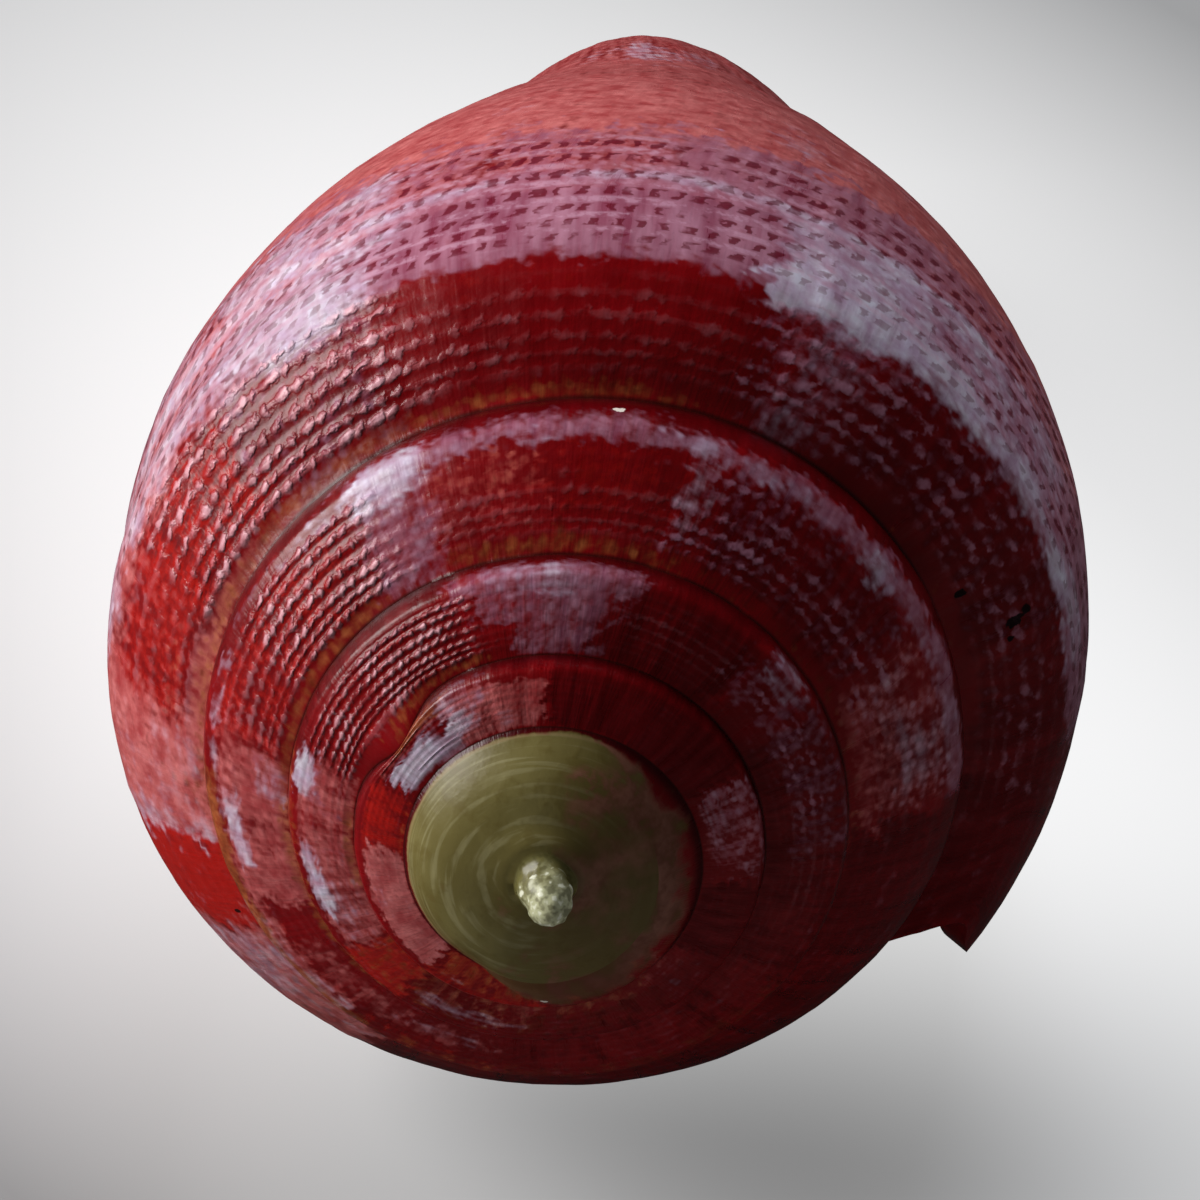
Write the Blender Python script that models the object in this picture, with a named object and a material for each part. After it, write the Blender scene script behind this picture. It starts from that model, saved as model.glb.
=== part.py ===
"""A cone shell with a stepped, domed spire, lying mouth down as it comes to rest on a table.

Blender 4.5, metres, +Z up. A shell grows as one piece, so it is one object. Its axis runs roughly along
+Y, with the spire towards -Y and the front end towards +Y. Growth is followed in whorls, counted back
from the edge of the outer lip: turn 0 is the lip, and turn 1 is the same side one whorl earlier.
"""

import math

import bmesh
import bpy
import numpy as np
from mathutils import Matrix

MM = 0.001

# Driving dimensions. Radii are taken from the axis, and depths from the tip of the spire.
LENGTH = 45.0 * MM
SUTURE_RADIUS = 9.76 * MM  # of the seam where the outer lip meets the whorl before it
GROWTH = 0.2886  # the seam's radius shrinks by about a quarter in each turn back
GROWTH_CHANGE = 0.0062  # and by a little more in each turn than in the one after it

TIP_RISE = 0.94 * MM  # of the knob at the tip over the smooth cap
SPIRE_SLOPE = 0.407  # how fast the seam sinks as its radius grows
SPIRE_CURVE = 0.0499 / MM
LAST_DROP = 2.7 * MM  # the seam dips as the last whorl ends
LAST_DROP_TURNS = 0.9

# A spire whorl between its seams: (share of the way along the chord, height over it as a share of it).
SPIRE_WHORL = ((0.28, 0.115), (0.58, 0.200), (0.75, 0.215), (0.89, 0.130))
# The whorl where the last one starts is rounder.
FIRST_WHORL = ((0.28, 0.095), (0.58, 0.160), (0.75, 0.165), (0.89, 0.105))
# The last whorl at the lip, from the seam to its widest part, as (radius, depth) past the seam in mm.
LIP_SHOULDER = ((0.93, 0.3), (2.0, 1.05), (2.65, 1.85), (3.05, 2.75), (3.33, 4.15))

# The side of the last whorl below that, as (radius, depth) in mm, at the lip and one turn earlier.
LIP_SIDE = ((13.1, 18.8), (12.4, 23.8), (10.25, 30.4), (7.55, 36.9), (5.75, 41.7), (3.9, 45.0))
FIRST_SIDE = ((9.95, 14.6), (8.9, 19.9), (6.45, 27.6), (3.85, 35.3), (2.3, 41.1), (1.7, 45.0))
THINNEST_PILLAR = 0.5 * MM
LIP_FLARE = 0.5 * MM  # the shell widens again just before the lip
LIP_FLARE_TURNS = 0.08

KNOB = ((0.90, 1.36), (0.70, 1.10), (0.60, 0.80), (0.44, 0.40), (0.22, 0.10))  # (radius, depth) in mm
CAP_TURN = 4.0  # the whorls before this one are smoothed into a round cap
STEPS_FULL_TURN = 4.1  # the steps between whorls fade from here
STEPS_FADED_TURN = 5.3

LIP_BULGE = 0.021  # turns that the growth lines and the lip's edge swing forward at their middle
LIP_BULGE_START = 15.0 * MM
# The lip stands forward at its seam and at its shoulder, with a shallow notch between, as (turns, depth and
# reach in mm).
LIP_NOTCH = ((0.038, 12.15, 0.6), (-0.009, 13.25, 0.45), (0.010, 15.4, 1.3))
LIP_NOTCH_TURNS = 0.1

# The hollow behind the mouth.
LIP_WALL = 0.65 * MM
DEEP_WALL = 1.05 * MM
DEEP_WALL_TURNS = 0.4
GLAZE = 0.3 * MM  # laid over the whorl before, inside the mouth
GLAZE_START = -0.05 * MM
GLAZE_TURNS = 0.15
MOUTH_CLEARANCE = 0.03  # turns that the cutter stands out of the mouth
HOLLOW_TURNS = 0.9
HOLLOW_START = 0.9 * MM  # from the seam's radius out to the hollow's upper corner
HOLLOW_CORNER = 0.45 * MM  # how much deeper its inner edge starts
CANAL_DEPTH = 46.5 * MM  # the cutter runs out of the front end, and leaves the canal open there
CANAL_TURNS = 0.2
CLOSED_DEPTH = 41.0 * MM  # where the hollow ends behind the canal
CLOSING = 9.0 * MM  # how much sooner it ends one turn further back
FRONT_DIMPLE = 1.0 * MM  # the front end is hollowed a little towards the axis

# How the finished shell lies: turned about its axis, then its front end lowered to the table.
ROLL = math.radians(-34.4)
NOSE_DOWN = math.radians(14.3)
WORN = 0.12 * MM  # rubbed flat where it rests, under the last whorl and on the edge of the lip

STEPS_PER_TURN = 72
WHORL_COLUMNS = 5
SIDE_COLUMNS = 12
MOUTH_COLUMNS = 3
CAP_RINGS = 3
HOLLOW_STEPS = 40
HOLLOW_ROWS = 14
FINE = 12  # points along each stretch of an outline, before it is divided again
MERGE = 0.01 * MM
TINY = 1e-9  # keeps a stretch of no length from dividing by zero
SHARP = math.radians(40.0)


def eased(share):
    """0 to 1, with level ends."""
    share = min(max(share, 0.0), 1.0)
    return share * share * (3.0 - 2.0 * share)


def suture(turn):
    """(radius, depth) of the seam on the upper edge of the whorl."""
    radius = SUTURE_RADIUS * math.exp(-GROWTH * turn - GROWTH_CHANGE * turn * turn)
    last = max(0.0, 1.0 - turn / LAST_DROP_TURNS)
    depth = TIP_RISE + SPIRE_SLOPE * radius + SPIRE_CURVE * radius * radius + LAST_DROP * last * last
    return np.array((radius, depth))


def age(turn):
    """0 at the lip and 1 one turn earlier, in step with the seam's own growth."""
    lip = suture(0.0)[0]
    return (lip - suture(turn)[0]) / (lip - suture(1.0)[0])


def spire_whorl(turn):
    """Guide points from the upper seam to the lower one, both seams included."""
    upper = suture(min(turn, CAP_TURN))
    lower = suture(turn - 1.0)
    chord = lower - upper
    outward = np.array((chord[1], -chord[0]))
    stepped = eased((STEPS_FADED_TURN - turn) / (STEPS_FADED_TURN - STEPS_FULL_TURN))
    spire = eased(turn - 1.0)
    guides = [upper]
    for first, later in zip(FIRST_WHORL, SPIRE_WHORL):
        share = first[0] + (later[0] - first[0]) * spire
        height = first[1] + (later[1] - first[1]) * spire
        guides.append(upper + share * chord + height * stepped * outward)
    return np.array(guides + [lower])


def flare(turn):
    """How far the shell widens outwards, close to the lip."""
    return LIP_FLARE * max(0.0, 1.0 - turn / LIP_FLARE_TURNS) ** 2


def last_whorl(turn):
    """The same guide points on the last whorl, which has no lower seam."""
    first = spire_whorl(1.0) - suture(1.0)
    lip = np.vstack([(0.0, 0.0), np.array(LIP_SHOULDER) * MM])
    guides = suture(turn) + lip + (first - lip) * age(turn)
    guides[2:, 0] += flare(turn)
    return guides


def side(turn):
    """Guide points from below the whorl's lower seam, or its widest part, to the front end."""
    lip = np.array(LIP_SIDE) * MM
    first = np.array(FIRST_SIDE) * MM
    guides = lip + (first - lip) * age(turn)
    guides[:, 0] = np.maximum(guides[:, 0], THINNEST_PILLAR)
    guides[0, 0] += flare(turn)
    return guides


def smooth_path(guides):
    """A smooth curve through guide points, as FINE points for each stretch and a last one."""
    lengths = np.linalg.norm(np.diff(guides, axis=0), axis=1)[:, None] + TINY
    slopes = np.diff(guides, axis=0) / lengths
    inner = (slopes[:-1] * lengths[1:] + slopes[1:] * lengths[:-1]) / (lengths[1:] + lengths[:-1])
    tangents = np.vstack([slopes[:1], inner, slopes[-1:]])
    points = []
    for i in range(len(lengths)):
        for x in np.arange(FINE) / FINE:
            start = (1 + 2 * x) * (1 - x) ** 2 * guides[i] + x * (1 - x) ** 2 * lengths[i] * tangents[i]
            end = x * x * (3 - 2 * x) * guides[i + 1] - x * x * (1 - x) * lengths[i] * tangents[i + 1]
            points.append(start + end)
    return np.array(points + [guides[-1]])


def divided(path, steps):
    """The path again, in this many equal steps."""
    run = np.concatenate([[0.0], np.cumsum(np.linalg.norm(np.diff(path, axis=0), axis=1))])
    where = np.linspace(0.0, run[-1], steps + 1)
    return np.stack([np.interp(where, run, path[:, i]) for i in range(2)], axis=1)


def outline(turn):
    """The whorl's whole outline, as (upper seam to lower seam, lower seam to front end)."""
    whorl = last_whorl(turn) if turn < 1.0 else spire_whorl(turn)
    path = smooth_path(np.vstack([whorl, side(turn)]))
    foot = (len(whorl) - 1) * FINE
    return path[: foot + 1], path[foot:]


def offset(path, distance):
    """The path moved outwards, away from the shell's axis."""
    along = np.gradient(path, axis=0)
    along /= np.linalg.norm(along, axis=1)[:, None]
    return path + distance * np.stack([along[:, 1], -along[:, 0]], axis=1)


def notch(depth):
    """Turns by which the lip's edge stands forward at this depth, near its seam."""
    return sum(turns * math.exp(-(((depth / MM - at) / reach) ** 2)) for turns, at, reach in LIP_NOTCH)


def near_lip(turn):
    """1 at the lip and beside it on the whorl before, and 0 a little way off."""
    back = max(turn, 0.0)
    return max(0.0, 1.0 - min(back, abs(back - 1.0)) / LIP_NOTCH_TURNS) ** 2


def swing(depth, turn):
    """Turns by which the growth lines run ahead at this depth."""
    share = min(max((depth - LIP_BULGE_START) / (LENGTH - LIP_BULGE_START), 0.0), 1.0)
    return LIP_BULGE * math.sin(math.pi * share) + notch(depth) * near_lip(turn)


def place(point, turn):
    """Where a point of an outline lies in space, with the axis along +Y."""
    radius, depth = point
    angle = 2.0 * math.pi * (turn - swing(depth, turn))
    return (radius * math.cos(angle), depth, radius * math.sin(angle))


def add_row(mesh, points, turn):
    return [mesh.verts.new(place(point, turn)) for point in points]


def add_strip(mesh, rows):
    """Faces between each row of vertices and the next."""
    for row, following in zip(rows, rows[1:]):
        for i in range(len(row) - 1):
            mesh.faces.new((row[i], row[i + 1], following[i + 1], following[i]))


def tidy_up(mesh):
    """Merges the edges that meet at the seams and turns every face outwards."""
    bmesh.ops.remove_doubles(mesh, verts=mesh.verts, dist=MERGE)
    bmesh.ops.dissolve_degenerate(mesh, edges=mesh.edges, dist=MERGE)
    bmesh.ops.recalc_face_normals(mesh, faces=mesh.faces)


def add_spire(mesh):
    """The whorls of the spire, from the rim of the cap to the start of the last whorl."""
    rows = []
    for i in range(round(CAP_TURN * STEPS_PER_TURN) + 1):
        turn = 1.0 + CAP_TURN - i / STEPS_PER_TURN
        rows.append(add_row(mesh, divided(outline(turn)[0], WHORL_COLUMNS), turn))
    add_strip(mesh, rows)


def last_path(turn):
    whorl, flank = outline(turn)
    return np.vstack([divided(whorl, WHORL_COLUMNS), divided(flank, SIDE_COLUMNS)[1:]])


def mouth_rows(mesh):
    """Rows across the mouth, from the lip to the whorl before it. Above that whorl they meet in its seam."""
    lip, first = last_path(0.0), last_path(1.0)
    first[:WHORL_COLUMNS] = first[WHORL_COLUMNS]
    shares = [i / MOUTH_COLUMNS for i in range(MOUTH_COLUMNS + 1)]
    return [add_row(mesh, lip + (first - lip) * share, 0.0) for share in shares]


def add_last_whorl(mesh):
    """The last whorl, with a wall across its mouth and a flat front end."""
    turns = [1.0 - i / STEPS_PER_TURN for i in range(STEPS_PER_TURN + 1)]
    rows = [add_row(mesh, last_path(turn), turn) for turn in turns]
    wall = mouth_rows(mesh)
    add_strip(mesh, rows)
    add_strip(mesh, wall)
    middle = mesh.verts.new((0.0, LENGTH - FRONT_DIMPLE, 0.0))
    rim = [row[-1] for row in rows + wall[1:-1]]
    for vertex, following in zip(rim, rim[1:] + rim[:1]):
        mesh.faces.new((vertex, following, middle))


def add_cap(mesh):
    """The smooth cap over the earliest whorls, and the knob at the tip."""
    rim, foot = suture(CAP_TURN)[0], KNOB[0][0] * MM
    rings = []
    for i in range(CAP_RINGS):
        radius = rim + (foot - rim) * i / CAP_RINGS
        rings.append((radius, TIP_RISE + SPIRE_SLOPE * radius + SPIRE_CURVE * radius * radius))
    rings += [(radius * MM, depth * MM) for radius, depth in KNOB]
    turns = [i / STEPS_PER_TURN for i in range(STEPS_PER_TURN + 1)]
    rows = [[mesh.verts.new(place(ring, turn)) for turn in turns] for ring in rings]
    add_strip(mesh, rows)
    tip = mesh.verts.new((0.0, 0.0, 0.0))
    for i in range(STEPS_PER_TURN):
        mesh.faces.new((rows[-1][i], rows[-1][i + 1], tip))


def hollow_loop(turn):
    """The hollow's outer and inner edge at this turn, each from its upper corner to its lower end."""
    back = max(turn, 0.0)
    wall = LIP_WALL + (DEEP_WALL - LIP_WALL) * eased(back / DEEP_WALL_TURNS)
    glaze = GLAZE_START + (GLAZE - GLAZE_START) * eased(back / GLAZE_TURNS)
    outer = offset(np.vstack(outline(turn)), -wall)
    inner = offset(outline(turn + 1.0)[1], glaze)
    outer = outer[np.argmax(outer[:, 0] > suture(turn)[0] + HOLLOW_START) :]
    inner = inner[inner[:, 1] > outer[0, 1] + HOLLOW_CORNER]
    end = CANAL_DEPTH + (CLOSED_DEPTH - CANAL_DEPTH) * eased(back / CANAL_TURNS) - CLOSING * back
    return [divided(ended(path, end), HOLLOW_ROWS) for path in (outer, inner)]


def ended(path, depth):
    """The path cut off or carried on, so that it ends at this depth."""
    path = path[path[:, 1] < min(depth, LENGTH - MERGE)]
    slope = (path[-1] - path[-2]) / (path[-1, 1] - path[-2, 1])
    return np.vstack([path, path[-1] + slope * (depth - path[-1, 1])])


def add_hollow(mesh):
    """The hollow, as a closed body that stands out of the mouth."""
    outer_rows, inner_rows = [], []
    for i in range(HOLLOW_STEPS + 1):
        turn = -MOUTH_CLEARANCE + (HOLLOW_TURNS + MOUTH_CLEARANCE) * i / HOLLOW_STEPS
        outer, inner = hollow_loop(turn)
        outer_rows.append(add_row(mesh, outer, turn))
        inner_rows.append(add_row(mesh, inner, turn))
    add_strip(mesh, outer_rows)
    add_strip(mesh, inner_rows)
    for i in (0, -1):
        add_strip(mesh, [outer_rows[i], inner_rows[i]])
        add_strip(mesh, [[outer[i], inner[i]] for outer, inner in zip(outer_rows, inner_rows)])


def new_object(name, collection, *builders):
    mesh = bmesh.new()
    for builder in builders:
        builder(mesh)
    tidy_up(mesh)
    data = bpy.data.meshes.new(name)
    mesh.to_mesh(data)
    mesh.free()
    data.shade_smooth()
    data.set_sharp_from_angle(angle=SHARP)
    obj = bpy.data.objects.new(name, data)
    collection.objects.link(obj)
    return obj


def new_collection(name):
    collection = bpy.data.collections.new(name)
    bpy.context.scene.collection.children.link(collection)
    return collection


def shell_material():
    material = bpy.data.materials.new("polished_shell")
    material.use_nodes = True
    shader = material.node_tree.nodes["Principled BSDF"]
    shader.inputs["Base Color"].default_value = (0.30, 0.03, 0.03, 1.0)
    shader.inputs["Roughness"].default_value = 0.2
    shader.inputs["Metallic"].default_value = 0.0
    return material


def wear_flat(obj):
    """Rubs off what stands lower than the worn flats, which all lie in one level plane."""
    flat = min(vertex.co.z for vertex in obj.data.vertices) + WORN
    for vertex in obj.data.vertices:
        vertex.co.z = max(vertex.co.z, flat)


def lay_down(shell, cutter):
    """Turns the meshes into the pose of rest, wears the shell flat and sets both on the table, centred."""
    pose = Matrix.Rotation(-NOSE_DOWN, 4, "X") @ Matrix.Rotation(-ROLL, 4, "Y")
    for obj in (shell, cutter):
        obj.data.transform(pose)
    wear_flat(shell)
    points = np.array([vertex.co for vertex in shell.data.vertices])
    low, high = points.min(axis=0), points.max(axis=0)
    drop = Matrix.Translation((-(low[0] + high[0]) / 2.0, -(low[1] + high[1]) / 2.0, -low[2]))
    for obj in (shell, cutter):
        obj.data.transform(drop)


def cut(obj, cutter):
    boolean = obj.modifiers.new("hollow", "BOOLEAN")
    boolean.operation = "DIFFERENCE"
    boolean.object = cutter
    cutter.hide_render = True
    cutter.display_type = "WIRE"


def main():
    for obj in list(bpy.data.objects):
        bpy.data.objects.remove(obj, do_unlink=True)
    shell = new_object("shell", new_collection("cone_shell"), add_spire, add_last_whorl, add_cap)
    hollow = new_object("hollow_cutter", new_collection("cutters"), add_hollow)
    shell.data.materials.append(shell_material())
    lay_down(shell, hollow)
    cut(shell, hollow)


main()
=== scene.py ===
# %% [markdown]
# # A red cone shell with a stepped spire
#
# A snail builds its shell at one edge only, the lip. It adds a little there every day, so every part of
# the shell was the lip once. That is also the easiest way to model it: work out how the lip moves, then
# sweep the lip's outline along that way. The place along the growth is counted in turns, back from today's
# lip, and every colour band and growth mark can then be given as a turn.

# %% The fixed model, its box, and the units
import math

import bpy
import numpy as np
from mathutils import Matrix, Vector


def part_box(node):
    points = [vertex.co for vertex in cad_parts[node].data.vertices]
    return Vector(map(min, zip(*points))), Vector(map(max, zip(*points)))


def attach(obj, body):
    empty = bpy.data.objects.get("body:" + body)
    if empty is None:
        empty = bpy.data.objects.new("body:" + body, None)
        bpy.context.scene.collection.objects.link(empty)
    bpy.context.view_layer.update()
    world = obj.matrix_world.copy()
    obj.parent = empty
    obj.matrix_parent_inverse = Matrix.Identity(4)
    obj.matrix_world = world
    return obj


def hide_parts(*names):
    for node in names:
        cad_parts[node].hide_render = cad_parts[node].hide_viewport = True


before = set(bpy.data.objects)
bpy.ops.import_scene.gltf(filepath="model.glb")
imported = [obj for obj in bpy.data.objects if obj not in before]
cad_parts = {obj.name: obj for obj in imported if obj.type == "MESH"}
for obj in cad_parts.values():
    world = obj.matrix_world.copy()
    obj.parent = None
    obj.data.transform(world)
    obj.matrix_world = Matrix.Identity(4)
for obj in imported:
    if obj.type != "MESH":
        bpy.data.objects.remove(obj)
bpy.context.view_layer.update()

NODE_LOW, NODE_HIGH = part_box("shell")
MM = 0.001
TWO_PI = 2.0 * math.pi

# %% [markdown]
# ## Camera
#
# The shell lies on its mouth with the spire towards us. The camera stands far back with a long lens and
# looks down on it, so the whorls show as rings around the tip and the front end as a hump behind them.

# %% Camera
CAMERA_PLACE = (3.2 * MM, -173.3 * MM, 155.3 * MM)
CAMERA_TURN = tuple(math.radians(angle) for angle in (48.93, -3.2, 3.94))


def select(*objects):
    bpy.ops.object.select_all(action="DESELECT")
    for obj in objects:
        obj.select_set(True)
        bpy.context.view_layer.objects.active = obj


select()
bpy.ops.object.camera_add(location=CAMERA_PLACE, rotation=CAMERA_TURN)
camera = bpy.context.object
camera.data.lens = 270.0
camera.data.sensor_width = 36.0
camera.data.clip_start = 1.0 * MM
bpy.context.scene.camera = camera
print("camera stands", round(Vector(CAMERA_PLACE).length / MM), "mm from the origin")

# %% [markdown]
# ## How the seam winds
#
# The seam, or suture, is the line where each whorl meets the one before it. Seen along the axis it is a
# spiral whose radius shrinks by a quarter for each turn back, and it climbs the spire as it shrinks.
# Everything else on the shell is measured from it. Lengths in this part are in millimetres, radii are taken
# from the shell's axis, and depths from the tip of the spire.

# %% The seam
LENGTH = 45.0
SUTURE_RADIUS = 9.76
GROWTH = 0.2886
GROWTH_CHANGE = 0.0062
TIP_RISE = 0.94
SPIRE_SLOPE = 0.407
SPIRE_CURVE = 0.0499
LAST_DROP = 2.7
LAST_DROP_TURNS = 0.9


def round_way(turn):
    """The direction, across the axis, that this turn points to."""
    return np.array((math.cos(TWO_PI * turn), math.sin(TWO_PI * turn)))


def eased(share):
    """0 to 1, with level ends."""
    share = np.clip(share, 0.0, 1.0)
    return share * share * (3.0 - 2.0 * share)


def hump(x, middle, reach):
    """A round hump of height 1."""
    return np.exp(-(((x - middle) / reach) ** 2))


def wander(x, seed, slowest, octaves=4):
    """A smooth, uneven line between about -1 and 1, the same on every run."""
    phases = np.random.default_rng(seed).uniform(0.0, TWO_PI, octaves)
    waves = [np.sin(TWO_PI * (slowest * 1.73**i) * x + phase) / (i + 1) for i, phase in enumerate(phases)]
    return sum(waves) / 1.5


def spire_depth(radius):
    """The depth of the spire's seams, where the last whorl doesn't pull them down."""
    return TIP_RISE + SPIRE_SLOPE * radius + SPIRE_CURVE * radius**2


def suture(turn):
    """(radius, depth) of the seam on the upper edge of the whorl."""
    turn = np.asarray(turn, float)
    radius = SUTURE_RADIUS * np.exp(-GROWTH * turn - GROWTH_CHANGE * turn**2)
    last = np.maximum(0.0, 1.0 - turn / LAST_DROP_TURNS)
    return np.stack([radius, spire_depth(radius) + LAST_DROP * last**2], axis=-1)


for turn in range(5):
    print("turn", turn, "seam at radius and depth", suture(turn).round(2))

# %% [markdown]
# ## The outline of a whorl
#
# Between its two seams a spire whorl is a low step: a ramp that rises gently, a round shoulder, and a short
# steep drop into the next seam. The last whorl has the same shoulder, then tapers in a long, slightly
# hollow line to the front end. Both are given by a few guide points and a smooth curve through them. The
# outline at any turn is a mix of the one at the lip and the one a turn earlier.

# %% Guide points
SPIRE_WHORL = ((0.28, 0.115), (0.58, 0.200), (0.75, 0.215), (0.89, 0.130))
FIRST_WHORL = ((0.28, 0.095), (0.58, 0.160), (0.75, 0.165), (0.89, 0.105))
LIP_SHOULDER = ((0.93, 0.3), (2.0, 1.05), (2.65, 1.85), (3.05, 2.75), (3.33, 4.15))
LIP_SIDE = ((13.1, 18.8), (12.4, 23.8), (10.25, 30.4), (7.55, 36.9), (5.75, 41.7), (3.9, 45.0))
FIRST_SIDE = ((9.95, 14.6), (8.9, 19.9), (6.45, 27.6), (3.85, 35.3), (2.3, 41.1), (1.7, 45.0))
THINNEST_PILLAR = 0.5
LIP_FLARE = 0.5
LIP_FLARE_TURNS = 0.08
CAP_TURN = 4.0
STEPS_FULL_TURN = 3.85
STEPS_FADED_TURN = 4.15


def age(turn):
    """0 at the lip and 1 one turn earlier, in step with the seam's own growth."""
    return (suture(0.0)[0] - suture(turn)[0]) / (suture(0.0)[0] - suture(1.0)[0])


def spire_whorl(turn):
    """Guide points from the upper seam to the lower one, both seams included."""
    upper = suture(min(turn, CAP_TURN))
    chord = suture(turn - 1.0) - upper
    outward = np.array((chord[1], -chord[0]))
    stepped = float(eased((STEPS_FADED_TURN - turn) / (STEPS_FADED_TURN - STEPS_FULL_TURN)))
    steps = np.array(FIRST_WHORL) + (np.array(SPIRE_WHORL) - np.array(FIRST_WHORL)) * eased(turn - 1.0)
    middle = upper + steps[:, :1] * chord + steps[:, 1:] * stepped * outward
    return np.vstack([upper, middle, upper + chord])


def flare(turn):
    """How far the shell widens again just before the lip."""
    return LIP_FLARE * max(0.0, 1.0 - turn / LIP_FLARE_TURNS) ** 2


def last_whorl(turn):
    """The same guide points on the last whorl, which has no lower seam."""
    first = spire_whorl(1.0) - suture(1.0)
    lip = np.vstack([(0.0, 0.0), LIP_SHOULDER])
    guides = suture(turn) + lip + (first - lip) * age(turn)
    guides[2:, 0] += flare(turn)
    return guides


def side(turn):
    """Guide points below the shoulder, down to the front end."""
    guides = np.array(LIP_SIDE) + (np.array(FIRST_SIDE) - np.array(LIP_SIDE)) * age(turn)
    guides[:, 0] = np.maximum(guides[:, 0], THINNEST_PILLAR)
    guides[0, 0] += flare(turn)
    return guides


print("whorl at the lip, outward and down from its seam:", (last_whorl(0.0) - suture(0.0)).round(1).tolist())

# %% A smooth outline through the guide points
FINE = 30  # points along each stretch, before the outline is divided again
TINY = 1e-9


def smooth_path(guides):
    lengths = np.linalg.norm(np.diff(guides, axis=0), axis=1)[:, None] + TINY
    slopes = np.diff(guides, axis=0) / lengths
    inner = (slopes[:-1] * lengths[1:] + slopes[1:] * lengths[:-1]) / (lengths[1:] + lengths[:-1])
    tangents = np.vstack([slopes[:1], inner, slopes[-1:]])
    x = (np.arange(FINE) / FINE)[:, None]
    points = []
    for i in range(len(lengths)):
        start = (1 + 2 * x) * (1 - x) ** 2 * guides[i] + x * (1 - x) ** 2 * lengths[i] * tangents[i]
        end = x * x * (3 - 2 * x) * guides[i + 1] - x * x * (1 - x) * lengths[i] * tangents[i + 1]
        points.append(start + end)
    return np.vstack(points + [guides[-1:]])


def divided(path, shares):
    """Points of the path at these shares of its length."""
    run = np.concatenate([[0.0], np.cumsum(np.linalg.norm(np.diff(path, axis=0), axis=1))])
    where = np.asarray(shares) * run[-1]
    return np.stack([np.interp(where, run, path[:, i]) for i in range(2)], axis=1)


def outline(turn):
    """The whorl's outline, as (upper seam to lower seam, lower seam to front end)."""
    whorl = last_whorl(turn) if turn < 1.0 else spire_whorl(turn)
    path = smooth_path(np.vstack([whorl, side(turn)]))
    foot = (len(whorl) - 1) * FINE
    return path[: foot + 1], path[foot:]


def outward_of(path):
    """For each point of a path that runs away from the tip, the direction out of the shell."""
    along = np.gradient(path, axis=0)
    along /= np.linalg.norm(along, axis=1)[:, None] + TINY
    return np.stack([along[:, 1], -along[:, 0]], axis=1)


for turn in (0.0, 1.0, 2.0, 3.0):
    whorl_width = np.linalg.norm(np.diff(outline(turn)[0], axis=0), axis=1).sum()
    print("turn", turn, "whorl is", round(float(whorl_width), 2), "mm wide")

# %% [markdown]
# ## The relief
#
# The surface isn't bare. Fine cords run along each whorl, the growth lines cross them and make them beaded,
# and the small dome of the earliest whorls swells between the tip and its rim. The broad part of that is real
# height in the mesh, measured along the outward direction. A place on the whorl is called its way: 0 at the
# upper seam, 1 at the lower one, and on the last whorl more than 1 below the shoulder. The cords are numbered
# outward from the upper seam, so that their relief and their colour can't drift apart.

# %% Cords and growth lines
CORD_WAYS = (0.0, 0.125, 0.18, 0.245, 0.335, 0.43, 0.525, 0.60, 0.70, 0.80, 0.93)
SIDE_CORD_PITCH = 0.175
STRONG_CORDS = (0.475, 0.075)  # the side of the shell where its cords are least worn, and how wide it is
SHOULDER_CORD = 7
CORD_HEIGHT = 0.030
INSET = 0.05  # keeps the highest relief of the last whorl inside the fixed model's box
INSET_TURNS = (1.0, 1.4)
SIDE_WAYS = 6.0  # the side below the shoulder is about six times as long as the whorl is wide
GROWTH_EDGES = (0.085, 0.18, 0.27, 0.425, 0.535, 0.65, 0.775, 1.155, 1.295, 1.415, 1.66, 2.22, 2.41, 2.70, 3.40)


def cord_number(turn, way):
    """The count of cords from the upper seam: a whole number on a cord's crest."""
    drift = 0.06 * eased(1.0 - turn) * way * (1.0 - np.clip(way, 0.0, 1.0)) + 0.006 * wander(turn, 6, 1.0)
    way = way - drift * eased(way / 0.1)
    numbers = np.arange(len(CORD_WAYS), dtype=float)
    below = numbers[-1] + (way - CORD_WAYS[-1]) / SIDE_CORD_PITCH
    return np.where(way > CORD_WAYS[-1], below, np.interp(way, CORD_WAYS, numbers))


def cord_height(turn, way):
    number = cord_number(turn, way)
    ramp = eased((number - 0.5) / 0.4) * (1.0 - 0.65 * eased((number - SHOULDER_CORD - 0.5) / 1.0))
    kept = 0.25 + 0.75 * hump(np.mod(turn, 1.0), *STRONG_CORDS)
    strength = kept * ramp * eased((3.95 - turn) / 0.5) * (0.75 + 0.25 * wander(turn + way, 5, 2.0))
    return CORD_HEIGHT * strength * (0.5 + 0.5 * np.cos(TWO_PI * number)) ** 1.5


def growth_height(turn, way):
    bent = turn + 0.004 * np.sin(3.0 * way) + 0.0015 * wander(way, 3, 1.3)
    edges = sum(hump(bent, edge, 0.0035) - hump(bent, edge + 0.007, 0.004) for edge in GROWTH_EDGES)
    return 0.008 * wander(bent, 11, 23.0, 5) + 0.012 * wander(turn, 12, 4.0, 4) + 0.014 * edges


# %% The dome and the healed scar
DOME_SWELLING = 0.34
DOME_EDGE_FADE = (0.76, 0.90)
SCAR_TURN = 2.5  # a break in the lip healed here, and the seam still steps in around it
SCAR_STEP = 0.42
SCAR_REACH = 0.035
SCAR_FADES = (0.62, 0.16)  # ways over which the step dies out on the whorl above the seam and below it


def dome_edge(turn):
    """The radius of the dome's rim on this side. Its seam fades out and the dome runs on into the next whorl."""
    side_of = np.mod(turn, 1.0)
    inner = suture(3.0 + side_of)[..., 0]
    outer = suture(2.0 + side_of)[..., 0]
    low, high = DOME_EDGE_FADE
    return inner + (outer - inner) * eased((side_of - low) / (high - low))


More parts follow.
